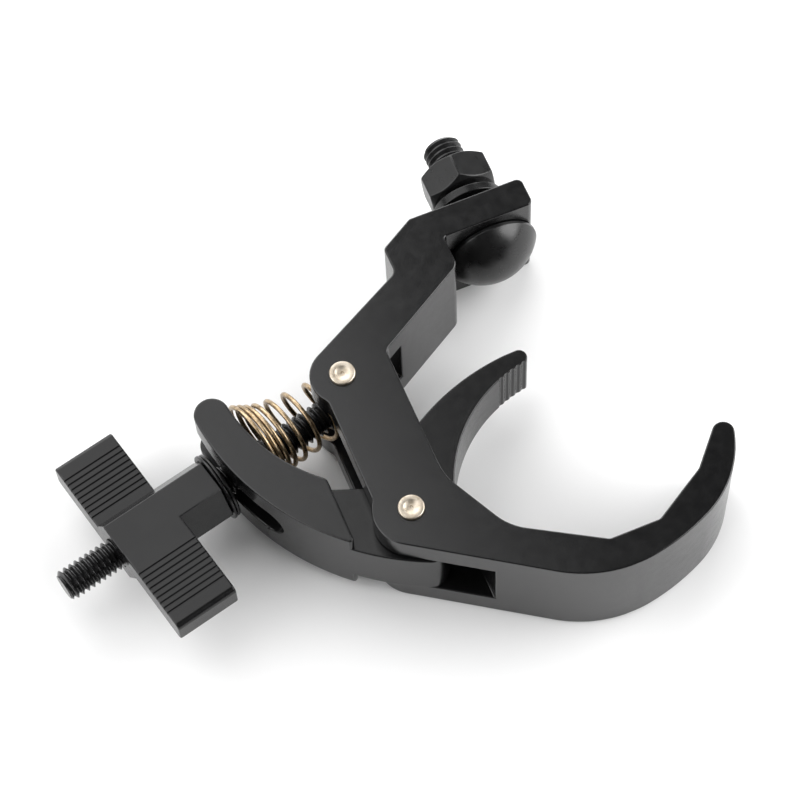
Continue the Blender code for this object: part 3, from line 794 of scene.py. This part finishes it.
def make_spring():
    """Round wire swept along the conical helix, with both cut ends eased."""
    path = spring_path()
    sides = 16
    last = len(path) - 1
    bm = bmesh.new()
    rings = []
    for i, p in enumerate(path):
        ahead = (path[min(i + 1, last)] - path[max(i - 1, 0)]).normalized()
        out = Vector((0, p.y, p.z))
        out = (out - ahead * ahead.dot(out)).normalized()
        side = ahead.cross(out)
        r = WIRE_R * (0.8 if i in (0, last) else 1.0)
        turn = [math.tau * k / sides for k in range(sides)]
        rings.append([bm.verts.new(p + (out * math.cos(b) + side * math.sin(b)) * r) for b in turn])
    skin(bm, rings)
    spring = shade(new_object("wound_spring", bm, SWING), 60.0)
    finish_piece(spring, WIRE, "spring_bronze", None, "coil_spring")
    near = SWING @ (Vector((path[-1].x, 0, 0)) * MM)
    far = SWING @ (Vector((path[0].x, 0, 0)) * MM)
    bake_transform(spring, "swing bolt", "thrust washers", start=near, end=far)


def make_thrust_washers():
    """The thick collar on the jaw's fork and the thin washer on it."""
    for node, ease_r in (("collar_washer", 0.35), ("flat_washer", 0.18)):
        low, high, radius = extent(node, SWING, 0)
        bore = ROD_R + 0.3
        section = [(bore, low), (radius, low), (radius, high), (bore, high)]
        ring = turned(node + "_ring", section, SWING @ ALONG_X)
        ease(ring, ease_r)
        finish_piece(shade(ring), WASHER_COAT, "washer_black", "thrust washers", node)


def make_wing_nut():
    """Hexagonal boss with two offset wings, both faces of each wing grooved."""
    low, high = extent("wing_nut", SWING, 0)[:2]
    place = SWING @ ACROSS_ROD
    boss = rounded_loop(hexagon(BOSS_AF), 0.4)
    nut = eased_prism("wing_nut_cast", boss, low, high, 0.35, place)
    wings = eased_prism("wings", wing_outline(), low + BOSS_LEN, high - 0.02, 0.45, place)
    combine(nut, [wings], "UNION")
    tools = [prism("nut_bore_tool", circle(ROD_R + 0.05), low - 3.0, high + 3.0, place)]
    for face, side in ((BOSS_AF / 2 - 0.01, 1), (0.0, -1)):
        for turn in (1, -1):
            comb = [(u * turn, v * turn) for u, v in comb_outline(face, side)]
            tools.append(prism("comb_tool", comb, low + BOSS_LEN - 1.0, high + 1.0, place))
    combine(nut, tools)
    finish_piece(shade(nut), WING_COAT, "wing_nut_black", "wing nut", "wing_nut")


def make_fixture_bolt():
    """Cup head on a square neck, with the thread from the plate outwards."""
    low, high, radius = extent("fixture_bolt", STAND, 1)
    under = PLATE_Y[0] - 0.3
    rim = 0.8
    tall = under - rim - low
    ball = (radius ** 2 + tall ** 2) / (2 * tall)
    full = math.asin(radius / ball)
    count = 24
    dome = []
    for i in range(count):
        a = full * i / count
        dome.append((ball * math.sin(a), low + ball * (1 - math.cos(a))))
    dome += corner(dome[-1], (radius, under - rim), (radius, under), 0.5)
    dome += [(radius, under), (0.0, under)]
    head = turned("bolt_head", dome, STAND @ ALONG_Y)
    square = [polar((0, 0), STUD_R * math.sqrt(2) - 0.4, 45.0 + 90.0 * i) for i in range(4)]
    combine(head, [prism("neck_tool", square, under - 1.0, under + 5.0, STAND @ ALONG_Y)], "UNION")
    finish_piece(shade(head), BOLT_COAT, "bolt_black", "frame", "fixture_bolt")
    stud = thread("bolt_thread", STUD_R, under + 3.0, high, STAND @ ALONG_Y)
    finish_piece(stud, STUD_STEEL, "bolt_black", "frame")


def make_fixture_washer():
    """Flat washer on the plate, under the lock washer."""
    low, high, radius = extent("fixture_washer", STAND, 1)
    bore = STUD_R + 0.3
    section = [(bore, low), (radius, low), (radius, high), (bore, high)]
    ring = turned("plate_washer", section, STAND @ ALONG_Y)
    ease(ring, 0.3)
    finish_piece(shade(ring), WASHER_COAT, "washer_black", "frame", "fixture_washer")


def make_lock_washer():
    """One sprung turn of a square bar with eased corners."""
    low, high, radius = extent("lock_washer", STAND, 1)
    thick = 2.2
    rise = high - low - thick
    bore = STUD_R + 0.3
    section = rounded_loop([(bore, 0.0), (radius, 0.0), (radius, thick), (bore, thick)], 0.3)
    count = 140
    bm = bmesh.new()
    rings = []
    for i in range(count + 1):
        a = math.radians(200.0 + 350.0 * i / count)
        y = low + rise * i / count
        rings.append([bm.verts.new((r * math.cos(a), y + h, r * math.sin(a))) for r, h in section])
    skin(bm, rings)
    lock = new_object("spring_washer", bm, STAND)
    finish_piece(shade(lock, 35.0), WASHER_COAT, "lock_black", "lock washer", "lock_washer")


def make_fixture_nut():
    """Hexagon nut, chamfered by a turned blank at both ends."""
    low, high = extent("fixture_nut", STAND, 1)[:2]
    place = STAND @ ALONG_Y
    nut = prism("hexagon_nut", rounded_loop(hexagon(NUT_AF, NUT_TURN), 0.7), low, high, place)
    wide = NUT_AF / math.sqrt(3) + 0.2
    flat = NUT_AF / 2 - 0.5
    fall = (wide - flat) * math.tan(math.radians(36.0))
    a = low - 0.01
    b = high + 0.01
    blank = [(0.0, a), (flat, a), (wide, a + fall), (wide, b - fall), (flat, b), (0.0, b)]
    combine(nut, [turned("blank_tool", blank, place)], "INTERSECT")
    sink = 1.0
    bore = [(0.0, low - 1.0), (STUD_R + sink + 1.0, low - 1.0), (STUD_R + 0.05, low + sink),
            (STUD_R + 0.05, high - sink), (STUD_R + sink + 1.0, high + 1.0), (0.0, high + 1.0)]
    combine(nut, [turned("nut_bore_tool", bore, place)])
    ease(nut, 0.2, segments=2, angle=22.0)
    finish_piece(shade(nut, 25.0), NUT_COAT, "nut_black", "fixture nut", "fixture_nut")


# ================================================================ studio
def make_floor():
    """A wide pale floor just under the clamp."""
    bm = bmesh.new()
    bmesh.ops.create_grid(bm, x_segments=1, y_segments=1, size=6.0 / MM)
    floor = new_object("floor", bm, Matrix.Translation((0, 0, CAD_BOX[0].z - 0.0002)))
    n = Nodes("pale_floor", (0.86, 0.86, 0.86), 0.75, 0.0)
    mottle = n.colours(n.noise(60.0, 2.0), (0.85, 0.85, 0.85), (0.87, 0.87, 0.87))
    n.link(mottle, n.shader.inputs["Base Color"])
    floor.data.materials.append(n.material)


def softbox(name, centre, aim, width, height, power):
    """A rectangular area light at centre, facing aim."""
    data = bpy.data.lights.new(name, "AREA")
    data.shape = "RECTANGLE"
    data.size = width
    data.size_y = height
    data.energy = power
    lamp = bpy.data.objects.new(name, data)
    bpy.context.scene.collection.objects.link(lamp)
    lamp.location = centre
    lamp.rotation_euler = (Vector(aim) - Vector(centre)).to_track_quat("-Z", "Y").to_euler()
    lamp.visible_camera = False
    return lamp


CAMERA_AZIMUTH = -19.04        # degrees; 0 looks along +Y
CAMERA_ELEVATION = 63.575
CAMERA_ROLL = -3.806
CAMERA_DISTANCE = 0.66125
CAMERA_LENS = 122.55
CAMERA_AIM = Vector((0.012791, 0.002394, 0.0))   # from the middle of the clamp's width


def make_camera():
    """A long lens above the clamp's front, slightly rolled."""
    a = math.radians(CAMERA_AZIMUTH)
    e = math.radians(CAMERA_ELEVATION)
    back = Vector((math.sin(a) * math.cos(e), -math.cos(a) * math.cos(e), math.sin(e)))
    data = bpy.data.cameras.new("camera")
    data.lens = CAMERA_LENS
    data.sensor_width = 36.0
    data.clip_start = 0.05
    camera = bpy.data.objects.new("camera", data)
    bpy.context.scene.collection.objects.link(camera)
    camera.location = CAMERA_AIM + Vector((0, 0, MID_Z * MM)) + back * CAMERA_DISTANCE
    look = (-back).to_track_quat("-Z", "Y").to_matrix()
    roll = Matrix.Rotation(math.radians(CAMERA_ROLL), 3, "Z")
    camera.rotation_euler = (look @ roll).to_euler()
    bpy.context.scene.camera = camera


def make_lights():
    """A flat softbox mirrored by the flat faces, and wide ones standing round."""
    softbox("overhead", (-0.185, 0.28, 0.6), (-0.185, 0.28, 0.0), 0.56, 0.56, 1.8)
    softbox("behind", (0.1, 1.7, 0.95), (0.0, 0.0, 0.0), 3.0, 1.3, 46.0)
    softbox("left", (-1.5, 0.0, 1.0), (0.0, 0.0, 0.0), 2.0, 1.2, 26.0)
    softbox("right", (1.35, -0.4, 0.8), (0.0, 0.0, 0.0), 2.0, 1.2, 46.0)
    world = bpy.data.worlds.new("studio")
    world.use_nodes = True
    world.node_tree.nodes["Background"].inputs["Color"].default_value = (1.0, 1.0, 1.0, 1.0)
    world.node_tree.nodes["Background"].inputs["Strength"].default_value = 0.06
    bpy.context.scene.world = world
    bpy.context.scene.view_settings.view_transform = "Standard"


def main():
    make_body()
    make_jaw()
    make_pins()
    make_swing_bolt()
    make_spring()
    make_thrust_washers()
    make_wing_nut()
    make_fixture_bolt()
    make_fixture_washer()
    make_lock_washer()
    make_fixture_nut()
    make_floor()
    make_camera()
    make_lights()


main()
